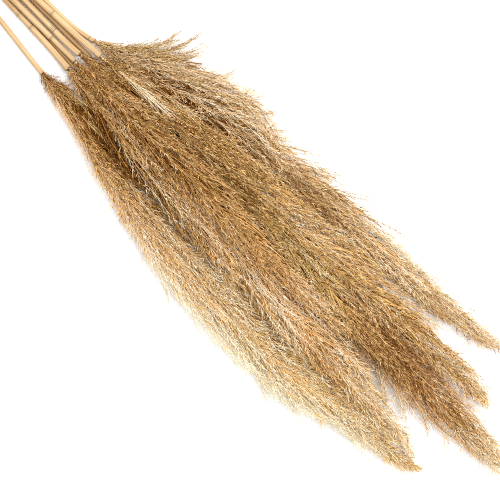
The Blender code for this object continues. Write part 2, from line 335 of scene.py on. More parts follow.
# %% Make the sprigs
SPRIG_LENGTH = 0.013
HUSKS_ON_A_SPRIG = 8
SPRIG_KINDS = 6
GOLDEN_TURN, ONCE_ROUND = 2.4, 6.28  # from one husk or branch to the next, as plants grow
TWIG_BEND, TWIG_RISE = 0.15, 0.85
TWIG_WIDTH, TWIG_THICKNESS, TWIG_TONE = 0.00026, 0.00013, 0.15
HUSK_LENGTHS, HUSK_WIDTHS, HUSK_THICKNESS = (0.0030, 0.0056), (0.00042, 0.00064), 0.00020
HUSK_LEANS = (0.18, 0.72)
HUSK_TONES = (-0.30, -0.13, 0.0, 0.12, 0.28)
BELLY = 0.42  # where a husk is widest
DARKER_ROOT, PALER_TIP, CAST = 0.14, 0.12, 0.06


def sliver(root, tip, width, thickness, turn, tone):
    """A closed four-faced husk: its corners, and two colour numbers for each corner."""
    along = (tip - root).normalized()
    side = along.cross(Vector((math.cos(turn), math.sin(turn), 0.1))).normalized()
    up = along.cross(side)
    belly = root.lerp(tip, BELLY)
    corners = [root, tip, belly + side * width / 2 + up * thickness,
               belly - side * width / 2 + up * thickness]
    tones = [(tone - DARKER_ROOT, 0.0), (tone + PALER_TIP, 0.0), (tone, CAST), (tone, -CAST)]
    return corners, tones


def make_sprig(seed):
    """A twig with husks around it, which points up from the origin."""
    rng = np.random.RandomState(seed)
    bend = rng.uniform(-TWIG_BEND, TWIG_BEND, 2) * SPRIG_LENGTH
    corners, tones, faces = [], [], []

    def on_twig(t):
        return Vector((bend[0] * t * t, bend[1] * t * t, SPRIG_LENGTH * t * TWIG_RISE))

    def add(*args):
        first = len(corners)
        new_corners, new_tones = sliver(*args)
        corners.extend(new_corners)
        tones.extend(new_tones)
        for a, b, c in ((0, 1, 2), (0, 3, 1), (0, 2, 3), (1, 3, 2)):
            faces.append((first + a, first + b, first + c))

    add(on_twig(0), on_twig(1), TWIG_WIDTH, TWIG_THICKNESS, rng.uniform(0, ONCE_ROUND),
        TWIG_TONE)
    for n in range(HUSKS_ON_A_SPRIG):
        t = 0.10 + 0.90 * n / (HUSKS_ON_A_SPRIG - 1)
        azimuth = GOLDEN_TURN * n + rng.uniform(-0.5, 0.5)
        lean = rng.uniform(*HUSK_LEANS) * (1.15 - 0.4 * t)
        out = Vector((math.cos(azimuth), math.sin(azimuth), 0)) * math.sin(lean)
        root = on_twig(t)
        tip = root + (out + Vector((0, 0, math.cos(lean)))) * rng.uniform(*HUSK_LENGTHS)
        add(root, tip, rng.uniform(*HUSK_WIDTHS), HUSK_THICKNESS, rng.uniform(0, ONCE_ROUND),
            rng.choice(HUSK_TONES) + rng.uniform(-0.05, 0.05))
    mesh = bpy.data.meshes.new(f"sprig_{seed}")
    mesh.from_pydata(corners, [], faces)
    for name, column in (("light", 0), ("cast", 1)):
        layer = mesh.attributes.new(name, "FLOAT", "POINT")
        layer.data.foreach_set("value", [tone[column] for tone in tones])
    return bpy.data.objects.new(f"sprig_{seed}", mesh)


sprigs = bpy.data.collections.new("sprigs")
for seed in range(SPRIG_KINDS):
    sprigs.objects.link(make_sprig(seed))

# %% [markdown]
# ## Geometry Nodes that clothe a branch
#
# A plume has 250 to 590 branches. The low ones are bare, and the others carry about a dozen
# sprigs each. Placing the sprigs is work for Geometry Nodes: the tree takes plain lines, sets
# a sprig at every few millimetres, leans it outwards, and gives the line itself a thin stalk.
# The lines carry their own numbers: how thick the stalk is, how large the sprigs are, how far
# apart they sit and how much they spread, and how light and how green they are. At the end,
# everything below a few millimetres is pressed gently above the table, so no husk sinks into
# it, and the instances are realized because the export keeps only real meshes.

# %% The plume tree
SPACING, LEAN, RESTING_HEIGHT = 0.005, 0.42, 0.004
tree = bpy.data.node_groups.new("Plume from branches", "GeometryNodeTree")
new_socket(tree, "Geometry", "Branches")
new_socket(tree, "Float", "Spacing", SPACING)
new_socket(tree, "Float", "Lean", LEAN)
new_socket(tree, "Float", "Resting height", RESTING_HEIGHT)
new_socket(tree, "Int", "Seed", 0)
new_socket(tree, "Collection", "Sprigs")
new_socket(tree, "Material", "Material")
new_socket(tree, "Geometry", "Plume", out=True)


def node(kind, settings=(), inputs=()):
    """Adds a node to the plume tree. An input may be a number or another node's socket."""
    made = tree.nodes.new(kind)
    for name, value in dict(settings).items():
        setattr(made, name, value)
    for name, value in dict(inputs).items():
        socket = made.inputs[name]
        if isinstance(value, bpy.types.NodeSocket):
            tree.links.new(value, socket)
        else:
            socket.default_value = value
    return made


def maths(operation, *values):
    made = node("ShaderNodeMath", {"operation": operation}, dict(enumerate(values)))
    return made.outputs[0]


def number_on_line(name):
    return node("GeometryNodeInputNamedAttribute", {"data_type": "FLOAT"},
                {"Name": name}).outputs["Attribute"]


def stored(geometry, name, value, domain, kind="FLOAT"):
    """The geometry, with a value kept on it under a name."""
    return node("GeometryNodeStoreNamedAttribute", {"data_type": kind, "domain": domain},
                {"Geometry": geometry, "Name": name, "Value": value}).outputs[0]


def chance(low, high, seed):
    """A random number, another one for every sprig."""
    made = node("FunctionNodeRandomValue", {"data_type": "FLOAT"})
    floats = [s for s in made.inputs if s.type == "VALUE" and s.name in ("Min", "Max")]
    floats[0].default_value, floats[1].default_value = low, high
    tree.links.new(seed, made.inputs["Seed"])
    return next(s for s in made.outputs if s.type == "VALUE")


start = node("NodeGroupInput").outputs
seeds = [maths("ADD", start["Seed"], float(n)) for n in range(5)]
lines = node("GeometryNodeMeshToCurve", (), {"Mesh": start["Branches"]}).outputs["Curve"]
print("the tree starts with", len(start) - 1, "inputs")

# %% Sprigs along the lines
BARE_SIZE = 0.05  # where sprigs would be smaller than this, there are none
LEAN_SHARES, SIZE_SHARES, TONE_CHANGE = (0.2, 1.3), (0.7, 1.25), 0.11
places = node("GeometryNodeCurveToPoints", {"mode": "LENGTH"},
              {"Curve": lines,
               "Length": maths("MULTIPLY", start["Spacing"], number_on_line("gap"))})
bare = node("FunctionNodeCompare", {"data_type": "FLOAT", "operation": "LESS_THAN"})
tree.links.new(number_on_line("size"), bare.inputs[0])
bare.inputs[1].default_value = BARE_SIZE
clothed = node("GeometryNodeDeleteGeometry", {"domain": "POINT"},
               {"Geometry": places.outputs["Points"], "Selection": bare.outputs[0]})
around = node("FunctionNodeAxisAngleToRotation", (),
              {"Axis": (0, 0, 1), "Angle": chance(0, 2 * math.pi, seeds[0])})
outward = node("FunctionNodeAxisAngleToRotation", (),
               {"Axis": (1, 0, 0), "Angle": maths(
                   "MULTIPLY", number_on_line("spread"),
                   maths("MULTIPLY", start["Lean"], chance(*LEAN_SHARES, seeds[1])))})
turned = node("FunctionNodeRotateRotation", {"rotation_space": "LOCAL"},
              {"Rotation": places.outputs["Rotation"], "Rotate By": around.outputs[0]})
leaned = node("FunctionNodeRotateRotation", {"rotation_space": "LOCAL"},
              {"Rotation": turned.outputs[0], "Rotate By": outward.outputs[0]})
kinds = node("GeometryNodeCollectionInfo", (),
             {"Collection": start["Sprigs"], "Separate Children": True,
              "Reset Children": True})
which = node("FunctionNodeRandomValue", {"data_type": "INT"})
whole = [s for s in which.inputs if s.type == "INT" and s.name in ("Min", "Max")]
whole[0].default_value, whole[1].default_value = 0, SPRIG_KINDS - 1
tree.links.new(seeds[2], which.inputs["Seed"])
placed = node("GeometryNodeInstanceOnPoints", (), {
    "Points": clothed.outputs[0], "Instance": kinds.outputs[0], "Pick Instance": True,
    "Instance Index": next(s for s in which.outputs if s.type == "INT"),
    "Rotation": leaned.outputs[0],
    "Scale": maths("MULTIPLY", number_on_line("size"), chance(*SIZE_SHARES, seeds[3]))})
varied = stored(placed.outputs[0], "tone", maths(
    "ADD", number_on_line("tone"), chance(-TONE_CHANGE, TONE_CHANGE, seeds[4])), "INSTANCE")
husks = node("GeometryNodeRealizeInstances", (), {"Geometry": varied}).outputs[0]
print("so far the tree has", len(tree.nodes), "nodes")

# %% Stalks, colour numbers and the table
STALK_SIDES, STALK_LIGHT = 3, 0.16
MAP_EDGES = (0.02, 0.98)  # colours are read a little inside the map's edge


def on_map(first, second):
    """The sum of two numbers, kept on the colour map."""
    total = maths("ADD", number_on_line(first), number_on_line(second))
    return maths("MINIMUM", maths("MAXIMUM", total, MAP_EDGES[0]), MAP_EDGES[1])


profile = node("GeometryNodeCurvePrimitiveCircle", {"mode": "RADIUS"},
               {"Resolution": STALK_SIDES, "Radius": 1.0})
stalks = node("GeometryNodeCurveToMesh", (), {
    "Curve": lines, "Profile Curve": profile.outputs[0], "Scale": number_on_line("stalk"),
    "Fill Caps": True})
paler = stored(stalks.outputs[0], "light", STALK_LIGHT, "POINT")
joined = node("GeometryNodeJoinGeometry")
for made in (husks, paler):
    tree.links.new(made, joined.inputs[0])
colour_place = node("ShaderNodeCombineXYZ", (), {
    "X": on_map("tone", "light"), "Y": on_map("hue", "cast")})
mapped = stored(joined.outputs[0], "OFBake", colour_place.outputs[0], "CORNER", "FLOAT2")
spot = node("ShaderNodeSeparateXYZ", (), {0: node("GeometryNodeInputPosition").outputs[0]})
rest = start["Resting height"]
pressed = maths("MULTIPLY", rest, maths(
    "EXPONENT", maths("SUBTRACT", maths("DIVIDE", spot.outputs["Z"], rest), 1.0)))
low = maths("LESS_THAN", spot.outputs["Z"], rest)
height = maths("ADD", maths("MULTIPLY", low, pressed),
               maths("MULTIPLY", maths("SUBTRACT", 1.0, low), spot.outputs["Z"]))
laid = node("GeometryNodeSetPosition", (), {
    "Geometry": mapped,
    "Position": node("ShaderNodeCombineXYZ", (), {
        "X": spot.outputs["X"], "Y": spot.outputs["Y"], "Z": height}).outputs[0]})
real = node("GeometryNodeRealizeInstances", (), {"Geometry": laid.outputs[0]})
finished = node("GeometryNodeSetMaterial", (),
                {"Geometry": real.outputs[0], "Material": start["Material"]})
node("NodeGroupOutput", (), {"Plume": finished.outputs[0]})
print("plume tree:", len(tree.nodes), "nodes")

# %% [markdown]
# ## Growing the branches
#
# The branches decide what the plume looks like from across the room: which way its strokes
# run, how they part into locks, and where they are dark or pale. They leave the stalk in
# turn around it, a few from each joint, and run forward while they swing out to the plume's
# edge. They could be drawn by hand, but eight plumes need some three thousand, so a rule
# draws them, with a fixed seed for each plume. It draws six kinds:
#
# - the main branches leave the joints, and three joints at a time share a tone and a drift,
#   which parts the plume into locks;
# - the collar is short and clothes the plume's foot;
# - the inner branches have large dark sprigs, which are painted shade between the others;
# - the bed is bare threads, low at both sides, on which the lighter branches lie; their
#   dark brown near the foot is painted shade in the gaps under and between the plumes;
# - the crest is a pale tuft on top of the foot;
# - the fringe is light and softens the plume's edge.

# %% What a line carries
BRANCH_POINTS = 7
STEPS = np.linspace(0, 1, BRANCH_POINTS)
NUMBERS = ("tone", "hue", "size", "stalk", "gap", "spread")
LOWEST_THREAD = 0.0006
SWAY_RATES, SWAY_SIZES = (60, 150), (0.0003, 0.0012)


def thinning(root, loss):
    """The radius of a thread along its steps: what it has at its root, and what it loses."""
    return root - loss * STEPS


def line_of(x, y, z, **numbers):
    """A line for the plume tree: its points, and one value of each number at every point."""
    points = np.stack([x, y, np.maximum(z, LOWEST_THREAD)], 1)
    every = {"gap": 1.0, "spread": 1.0, "stalk": thinning(0.00024, 0.00015), **numbers}
    return points, {name: np.full(len(x), 1.0) * every[name] for name in NUMBERS}


def wobble(rng, run):
    """A small slow sway, as a dry branch has."""
    sway = sum(np.sin(STEPS * run * rng.uniform(*SWAY_RATES) + rng.uniform(0, ONCE_ROUND))
               for _ in range(2))
    return sway * rng.uniform(*SWAY_SIZES) * STEPS


print("a branch has", BRANCH_POINTS, "points, and each carries", len(NUMBERS), "numbers")

# %% Where a branch runs
LIFT_SHARES = ((0, 0.06, 0.2, 0.7), (0, 1.0, 0.85, 0.4))  # places along a plume, then shares
SWERVE, SWING, LESS_UPWARDS = 0.35, 1.7, 0.6


def stalk_line(number, x):
    """Where the plume's own stalk runs: y and z."""
    reed = REEDS[number]
    y, z = middle_of(reed, x)
    if "stalk" in reed:
        y = smooth(x, reed["stalk"][:, 0], reed["stalk"][:, 1])
    if "lift" in reed:
        along = (x - reed["plume"][0, 0]) / np.ptp(reed["plume"][:, 0])
        lift = np.interp(along, *LIFT_SHARES) * reed["lift"]
        z = z + reach(number, x, np.full_like(x, math.pi / 2)) * lift
    return y, z / flatness(x)


def branch(number, rng, start_x, run, angle, share):
    """A branch that leaves the stalk and swings out to a share of the plume's reach."""
    x = start_x + run * STEPS
    angles = angle + rng.uniform(-SWERVE, SWERVE) * STEPS
    away = 1 - (1 - STEPS) ** SWING
    stalk_y, stalk_z = stalk_line(number, x)
    y, z = middle_of(REEDS[number], x)
    far = reach(number, x, angles) * share
    y = y + np.cos(angles) * far
    z = (z + np.sin(angles) * far) / flatness(x)
    y = stalk_y + (y - stalk_y) * away + wobble(rng, run)
    z = stalk_z + (z - stalk_z) * away + wobble(rng, run) * LESS_UPWARDS
    return x, y, z, np.cos(angles) * away * share, away * share


print("the stalk of plume 2 is", stalk_line(2, station)[1].round(4), "m high at", station)

# %% All the branches of a plume
BRANCHES_AT_A_JOINT, JOINTS_IN_A_LOCK = 4, 3
ROOM_AT_TIP = 0.008
PALER_OUTSIDE, EVEN_SHARE = 0.18, 0.65  # the outer part of a branch is paler than the rest
ACROSS_PLACES = (-0.9, 0, 0.9)
# How dark the bed is along the plume: painted shade, darkest near the foot.
BED_SHADE_TONES = ((0.0, 0.10, 0.17, 0.28, 0.36), (-0.06, 0.0, 0.27, 0.40, 0.46))


def grow(number, settings):
    """The branch lines of one plume."""
    rng = np.random.RandomState(settings["seed"])
    base, tip = REEDS[number]["plume"][0, 0], REEDS[number]["plume"][-1, 0]
    length = tip - base
    lines = []

    def add(start_x, run, angle, share, size, tone, bare=0.12, along=settings["along"],
            **numbers):
        """Adds a branch. Its sprigs start past the bare part and get smaller to its tip."""
        run = min(run, tip - start_x - ROOM_AT_TIP)
        x, y, z, side, out = branch(number, rng, start_x, run, angle, share)
        # The last term is painted shading: the plume's shaded side is darker and its other side
        # paler.
        tones = (np.interp(x - base, *along) + tone + PALER_OUTSIDE * (out - EVEN_SHARE)
                 + np.interp(side, ACROSS_PLACES, settings["across"]))
        clothed = np.clip((STEPS - bare + 0.05) / 0.15, 0, 1)
        hues = np.interp(x - base, *settings["hue"]) + rng.uniform(-0.12, 0.12)
        lines.append(line_of(x, y, z, tone=tones, hue=hues,
                             size=clothed * (1.15 - 0.35 * STEPS) * size, **numbers))

    for joint in range(settings["joints"]):
        far = (joint / settings["joints"]) ** settings["crowd"]
        if joint % JOINTS_IN_A_LOCK == 0:
            lock_tone, lock_drift = rng.uniform(-0.24, 0.22), rng.normal(0, 0.3)
        for _ in range(BRANCHES_AT_A_JOINT):
            angle = GOLDEN_TURN * joint + lock_drift + rng.normal(0, 0.5)
            if math.sin(angle) < -0.2 and rng.rand() < 0.7:
                continue  # most that would grow down are left out, where nobody sees them
            run = length * (0.24 * (1 - far) ** 0.8 + 0.11) * rng.uniform(0.5, 1.15)
            add(start_x=base + length * 0.94 * far + rng.uniform(0, 0.006), run=run,
                angle=angle, share=settings["share"] * rng.uniform(0.30, 1.0) ** 0.5,
                size=1.0, tone=lock_tone + rng.uniform(-0.14, 0.14))
    for n in range(settings["collar"]):
        add(start_x=base + rng.uniform(-0.004, 0.014), run=rng.uniform(0.010, 0.040),
            angle=GOLDEN_TURN * n, share=rng.uniform(0.1, 1.0) ** 0.5, size=0.6,
            tone=rng.uniform(-0.12, 0.12), bare=-0.2, gap=0.65, spread=1.4)
    # The inner branches are painted shade: their large sprigs are dark, to stand for the shade
    # between the other branches.
    for n in range(settings["inner"]):
        far = (n / settings["inner"]) ** settings["crowd"]
        add(start_x=base + length * 0.86 * far, run=length * rng.uniform(0.12, 0.22),
            angle=GOLDEN_TURN * n, share=rng.uniform(0.3, 0.85), size=1.5, tone=-0.24,
            bare=0.0, gap=1.5, spread=0.8)
    # The bed's dark brown is painted shade in the gaps under and between the plumes.
    for n in range(settings["bed"]):
        side = n % 2
        down = rng.uniform(0.0, 0.9)
        add(start_x=base + length * settings["bed_length"] * n / settings["bed"],
            run=length * rng.uniform(0.10, 0.16), angle=math.pi + down if side else -down,
            share=rng.rand() ** 0.45 * settings["bed_share"][side], size=0.0,
            tone=rng.uniform(-0.06, 0.06), along=BED_SHADE_TONES,
            stalk=(1.4 - 0.5 * n / settings["bed"]) * thinning(0.0010, 0.0006))
    for n in range(settings["crest"]):
        add(start_x=base + rng.uniform(0.014, 0.046), run=rng.uniform(0.020, 0.034),
            angle=math.pi / 2 + rng.uniform(0.0, 0.42), share=rng.uniform(0.96, 1.08),
            size=0.4, tone=0.38, bare=-0.1, gap=0.7, spread=0.8,
            stalk=thinning(0.00044, 0.00024))
    for n in range(settings["fringe"]):
        outward = settings["outward"][n % len(settings["outward"])]
        add(start_x=base + length * rng.uniform(0.0, 0.85),
            run=length * rng.uniform(0.08, 0.16), angle=outward + rng.normal(0, 0.35),
            share=settings["share"] * rng.uniform(0.94, 1.06), size=0.5,
            tone=settings["fringe_tone"], bare=0.3, gap=0.6)
    return lines


print("the tones of a bed run from", min(BED_SHADE_TONES[1]), "to", max(BED_SHADE_TONES[1]))

# %% The plume's own stalk
STALK_POINTS, STALK_OVERLAP, STALK_SHORT = 44, 0.002, 0.03
STALK_TONES = ((0.0, 0.1, 0.2, 0.3), (0.50, 0.55, 0.36, 0.12))
STALK_RADII = ((0, 0.15, 0.35, 1), (0.0012, 0.0011, 0.0004, 0.0002))
REEDS[7]["lift"] = 0.84
REEDS[7]["stalk"] = np.array([
    (15, 16.7), (22, 17.0), (65, 20.5), (81, 20.2), (125, 22.7), (141, 22.1), (182, 19.6),
    (210, 17.5), (300, 24.0), (409, 23.5)]) / MM_IN_M
REEDS[8]["stalk"] = np.array([
    (3, 22.2), (50, 30), (100, 38), (150, 44), (200, 49), (300, 53.5), (388, 61)]) / MM_IN_M


def main_stalk(number):
    """The plume's own stalk, which goes on from the stem and tapers to a thread."""
    base, tip = REEDS[number]["plume"][0, 0], REEDS[number]["plume"][-1, 0]
    x = np.linspace(base - STALK_OVERLAP, tip - STALK_SHORT, STALK_POINTS)
    y, z = stalk_line(number, x)
    share = (x - base) / (tip - base)
    return line_of(x, y, z, tone=np.interp(share, *STALK_TONES), hue=0.5, size=0.0,
                   stalk=np.interp(share, *STALK_RADII))


print("stalks off the middle of their plume:", [n for n in REEDS if "stalk" in REEDS[n]])

# %% [markdown]
# ## Loose tufts
#
# A dried plume does not stay neat. Side branches curl out past its edge, and tufts fall
# across the dark gap beside it. A rule can't know where they are, so each tuft is a row of a
# short table, and its strands are soft curves from the stalk, towards a bend and out to a
# tip. The strands differ in length and place, because no tuft is a flat comb.

# %% The tufts
LOOSE = [
    # plume, strands, start, bend and tip in millimetres, size of the sprigs
    (8, 4, 2, (24, 30), (30, 46), 0.60), (8, 5, 4, (36, 34), (38, 57), 0.60),
    (8, 6, 6, (44, 38), (46, 73), 0.55), (8, 5, 9, (46, 42), (52, 74), 0.55),
    (8, 8, 12, (54, 40), (60, 83), 0.55), (8, 6, 16, (58, 44), (66, 78), 0.55),
    (8, 7, 20, (62, 46), (73, 80), 0.55), (8, 5, 28, (66, 48), (76, 66), 0.60),
    (8, 5, 34, (70, 48), (83, 64), 0.60), (8, 4, 38, (84, 54), (92, 71), 0.50),
    (8, 6, 48, (92, 54), (98, 81), 0.50), (8, 5, 56, (100, 56), (107, 72), 0.55),
    (8, 5, 62, (110, 58), (117, 79), 0.50), (8, 5, 70, (120, 58), (127, 85), 0.45),
    (8, 5, 76, (124, 62), (133, 78), 0.50), (8, 5, 86, (134, 60), (144, 80), 0.50),
    (8, 4, 96, (146, 58), (157, 70), 0.55), (8, 4, 110, (156, 60), (172, 75), 0.50),
    (8, 4, 126, (172, 62), (190, 77), 0.50), (8, 4, 150, (192, 60), (212, 74), 0.55),
    (8, 2, 172, (214, 62), (230, 72), 0.50), (8, 2, 236, (270, 60), (290, 69), 0.50),
    (8, 2, 180, (224, 70), (243, 79), 0.45), (8, 1, 210, (262, 72), (281, 77), 0.45),
    (8, 1, 262, (306, 66), (327, 72), 0.45), (8, 1, 290, (336, 64), (356, 69), 0.45),
    (1, 2, 120, (160, -74), (180, -83), 0.45), (1, 1, 150, (196, -80), (216, -88), 0.45),
    (1, 2, 215, (262, -78), (286, -88), 0.45), (1, 2, 262, (300, -74), (318, -84), 0.45),
    (1, 1, 280, (322, -72), (342, -80), 0.45), (1, 1, 300, (362, -64), (384, -66), 0.45),
    (3, 5, 258, (292, -17), (312, -13), 0.60), (6, 5, 262, (294, -10), (314, -17), 0.60),
    (3, 5, 274, (306, -19), (325, -17), 0.60), (6, 4, 276, (308, -12), (324, -20), 0.60),
    (3, 5, 290, (318, -20), (336, -20), 0.60), (6, 6, 290, (312, -12), (330, -22), 0.60),
    (3, 4, 312, (338, -24), (356, -24), 0.50), (6, 6, 312, (334, -15), (352, -25), 0.60),
    (6, 6, 330, (354, -16), (372, -25), 0.55), (6, 5, 350, (378, -14), (393, -23), 0.50),
    (6, 2, 374, (398, -14), (410, -22), 0.40), (7, 4, 296, (326, 40), (344, 44), 0.50),
    (7, 4, 236, (266, 34), (290, 40), 0.60), (7, 4, 256, (286, 33), (310, 38), 0.60),
    (7, 4, 276, (304, 33), (326, 38), 0.60), (1, 4, 2, (18, -20), (44, -18), 0.55),
    (1, 4, 28, (52, -25), (80, -25), 0.55),
]
STRAY_START, STRAY_TIP, STRAY_BEND, SHORTEST = 0.003, (-3.5, 0.5), 4, 0.3
DIM_TUFT, PALE_TUFT, NEAR_FOOT = 0.34, 0.66, 100
TUFT_HUE, TUFT_GAP = 0.9, 0.62
TUFT_SIZES = ((0, 0.25, 0.5, 1), (0.6, 1.1, 1.1, 0.8))
TUFT_HEIGHT, TUFT_ARCH = 0.005, 0.026


def loose_branch(rng, start, bend, tip, short):
    """A strand of a tuft. It leaves the stalk, then turns outwards."""
    t = STEPS ** 0.8 * (1 - short)
    x, y = (start[n] * (1 - t) ** 2 + 2 * bend[n] * t * (1 - t) + tip[n] * t * t
            for n in (0, 1))
    y = y + wobble(rng, tip[0] - start[0])
    z = TUFT_HEIGHT + TUFT_ARCH * t * (1 - t) + rng.uniform(-0.002, 0.004) * t
    return x, y, z


rng = np.random.RandomState(8)
wisps = {number: [] for number in REEDS}
for number, strands, start_x, bend, tip, sprig_size in LOOSE:
    tuft_tone = DIM_TUFT if number == 8 or start_x < NEAR_FOOT else PALE_TUFT
    for _ in range(strands):
        x_now = start_x / MM_IN_M + rng.uniform(-STRAY_START, STRAY_START)
        root = (x_now, stalk_line(number, np.array([x_now]))[0][0])
        strand_tip = [(value + rng.uniform(*STRAY_TIP)) / MM_IN_M for value in tip]
        strand_bend = [(value + rng.uniform(-STRAY_BEND, STRAY_BEND)) / MM_IN_M
                       for value in bend]
        short = rng.uniform(0, SHORTEST) if strands > 2 else 0.0
        x, y, z = loose_branch(rng, root, strand_bend, strand_tip, short)
        wisps[number].append(line_of(
            x, y, z, tone=tuft_tone + rng.uniform(-0.14, 0.14), hue=TUFT_HUE,
            size=np.interp(STEPS, *TUFT_SIZES) * sprig_size,
            stalk=thinning(0.00036, 0.00018), gap=TUFT_GAP))
print(len(LOOSE), "tufts of", sum(len(strands) for strands in wisps.values()), "strands")

# %% [markdown]
# ## From lines to a plume
#
# A real plume is one grown thing, so it becomes one mesh. Its lines are first joined into a
# mesh of bare edges whose points carry the numbers. The tree clothes them, the result is kept
# as a plain mesh in place of the smooth CAD plume, and the bare edges and their modifier are
# thrown away. Hair curves could do this too, but only a plain mesh can be exported.

# %% Make a plume
def make_plume(number, material, settings):
    """Grows a plume, clothes it with the tree and puts it in place of its CAD node."""
    lines = grow(number, settings) + [main_stalk(number)] + wisps[number]
    points = np.vstack([line[0] for line in lines]) - np.array(BUNCH_CENTRE)
    edges, first = [], 0
    for line, _ in lines:
        edges += [(first + n, first + n + 1) for n in range(len(line) - 1)]
        first += len(line)
    mesh = bpy.data.meshes.new(f"branches_{number}")
    mesh.from_pydata(points, edges, [])
    for name in NUMBERS:
        layer = mesh.attributes.new(name, "FLOAT", "POINT")
        layer.data.foreach_set("value", np.concatenate([line[1][name] for line in lines]))
    source = bpy.data.objects.new(f"branches_{number}", mesh)
    bpy.context.scene.collection.objects.link(source)
    modifier = source.modifiers.new("sprigs", "NODES")
    modifier.node_group = tree
    values = {"Spacing": SPACING, "Lean": LEAN, "Resting height": RESTING_HEIGHT,
              "Seed": 10 * number, "Sprigs": sprigs, "Material": material}
    for socket in tree.interface.items_tree:
        if socket.in_out == "INPUT" and socket.name in values:
            modifier[socket.identifier] = values[socket.name]
    evaluated = source.evaluated_get(bpy.context.evaluated_depsgraph_get())
    plume_mesh = bpy.data.meshes.new_from_object(evaluated)
    source.modifiers.remove(modifier)
    bpy.data.objects.remove(source, do_unlink=True)
    plume_mesh.name = f"plume_{number}_husks"
    for spare in (*NUMBERS, "light", "cast"):
        if spare in plume_mesh.attributes:
            plume_mesh.attributes.remove(plume_mesh.attributes[spare])
    plume = bpy.data.objects.new(f"plume_{number}_husks", plume_mesh)
    bpy.context.scene.collection.objects.link(plume)
    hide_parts(f"plume_{number}")
    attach(plume, "root")
    triangles = sum(len(p.vertices) - 2 for p in plume_mesh.polygons)
    print(f"plume {number}: {len(lines)} branches, {triangles} triangles")
    return plume


# %% [markdown]
# ## What sets one plume apart
#
# All eight plumes follow one rule. A few settings make each one itself: how many branches of
# each kind it has, how far they go, and its tones. They could be eight functions instead,
# but then a change to the rule would have to be made eight times. Tone and hue follow the
# distance from the plume's foot, in metres. Tone also changes across the plume, and that is
# painted shading: the side away from the light, or in a neighbour's shadow, is darker, and
# the other side is a little paler.

# %% The settings of a plume
def plume_settings(seed, along, **changes):
    """The usual settings, with this plume's changes. Tones run from 0, dark, to 1, pale."""
    settings = {
        "seed": seed,
        "joints": 34, "crowd": 1.05,  # joints crowd at the foot above 1, at the tip below 1
        "share": 0.98,                # how much of the reach the longest branches use
        "collar": 30, "inner": 16, "crest": 0,
        "bed": 100, "bed_length": 0.80, "bed_share": (0.9, 0.9),  # shares at +Y and at -Y
        "fringe": 0, "fringe_tone": 0.12, "outward": (0.0,),      # 0 is +Y, pi is -Y
        "along": along,               # places, then the tones there
        "across": (0.0, 0.0, 0.0),    # painted shading that the -Y edge, the middle and the +Y edge add
        "hue": ((0,), (0.5,)),        # places, then from 0, reddish, to 1, greenish
    }
    settings.update(changes)
    return settings


PLUMES = {
    1: ("golden", plume_settings(
        11, ((0, 0.05, 0.09, 0.13, 0.2, 0.3, 0.42), (0.26, 0.34, 0.61, 0.70, 0.86, 0.86, 0.66)),
        joints=54, inner=20, collar=80, fringe=68, outward=(math.pi, math.pi, 0.0), bed=250,
        bed_share=(1.22, 0.86), share=0.89, hue=((0, 0.15, 0.25), (0.22, 0.40, 0.62)),
        across=(0.32, 0.0, -0.17))),
    2: ("tan", plume_settings(
        22, ((0, 0.05, 0.10, 0.16, 0.3), (0.46, 0.48, 0.62, 0.82, 0.87)), joints=39,
        bed=130, bed_share=(0.95, 1.05), across=(-0.20, 0.0, 0.04), hue=((0,), (0.40,)))),
    3: ("golden", plume_settings(
        33, ((0, 0.1, 0.16, 0.24, 0.34), (0.42, 0.50, 0.70, 0.80, 0.84)), joints=30,
        bed=170, bed_share=(1.0, 1.15), fringe=14, outward=(math.pi,), fringe_tone=-0.12,
        hue=((0.15, 0.28), (0.48, 0.62)))),
    4: ("tan", plume_settings(
        44, ((0, 0.05, 0.12, 0.28), (0.40, 0.38, 0.50, 0.70)), joints=33,
        across=(-0.10, 0.0, 0.05), hue=((0,), (0.46,)))),
    5: ("olive", plume_settings(
        55, ((0, 0.1, 0.2, 0.28, 0.35), (0.36, 0.34, 0.44, 0.52, 0.48)), joints=39,
        across=(-0.08, 0.0, 0.05), hue=((0.08, 0.18, 0.25, 0.30), (0.20, 0.55, 0.55, 0.10)))),
    6: ("brown", plume_settings(
        66, ((0, 0.33, 0.38, 0.41, 0.45), (0.36, 0.40, 0.57, 0.79, 0.95)), joints=49,
        inner=28, bed=230, bed_share=(0.9, 1.10), bed_length=0.9, crowd=0.72, fringe=24,
        outward=(0.0, math.pi), hue=((0.30, 0.37, 0.42), (0.40, 0.66, 0.95)))),
    7: ("golden", plume_settings(
        77, ((0, 0.06, 0.16, 0.24, 0.34, 0.38), (0.36, 0.43, 0.57, 0.41, 0.60, 0.64)),
        joints=46, crowd=0.88, bed=176, fringe=8, crest=26, across=(-0.08, 0.0, 0.03))),
    8: ("faded", plume_settings(
        88, ((0, 0.05, 0.13, 0.2, 0.3, 0.38), (0.64, 0.60, 0.60, 0.51, 0.75, 0.79)),
        joints=38, collar=40, inner=14, bed=190, bed_share=(0.9, 0.95), fringe=14,
        hue=((0, 0.1, 0.16), (0.45, 0.45, 0.55)), across=(-0.26, -0.06, 0.08))),
}

# %% The eight plumes
for number, (colour, settings) in PLUMES.items():
    plume = make_plume(number, hair_materials[colour], settings)

# %% [markdown]
# ## Straws
#
# A reed's stem is a hollow straw. It has a ring at each joint, where a leaf once grew, and
# the leaf's dry sheath still wraps the straw above the joint: its edge laps over itself in a
# long seam and ends in a thin rim. Fine ribs run along it. A swept tube would be simpler,
# but the rings, the seam, the rim and the hollow end all change the outline, so the mesh is
# lofted ring by ring from a short list of radii. The ribs and the flecks are too fine for
# that and are left to the material.

# %% The shape of a straw
SIDES = 24
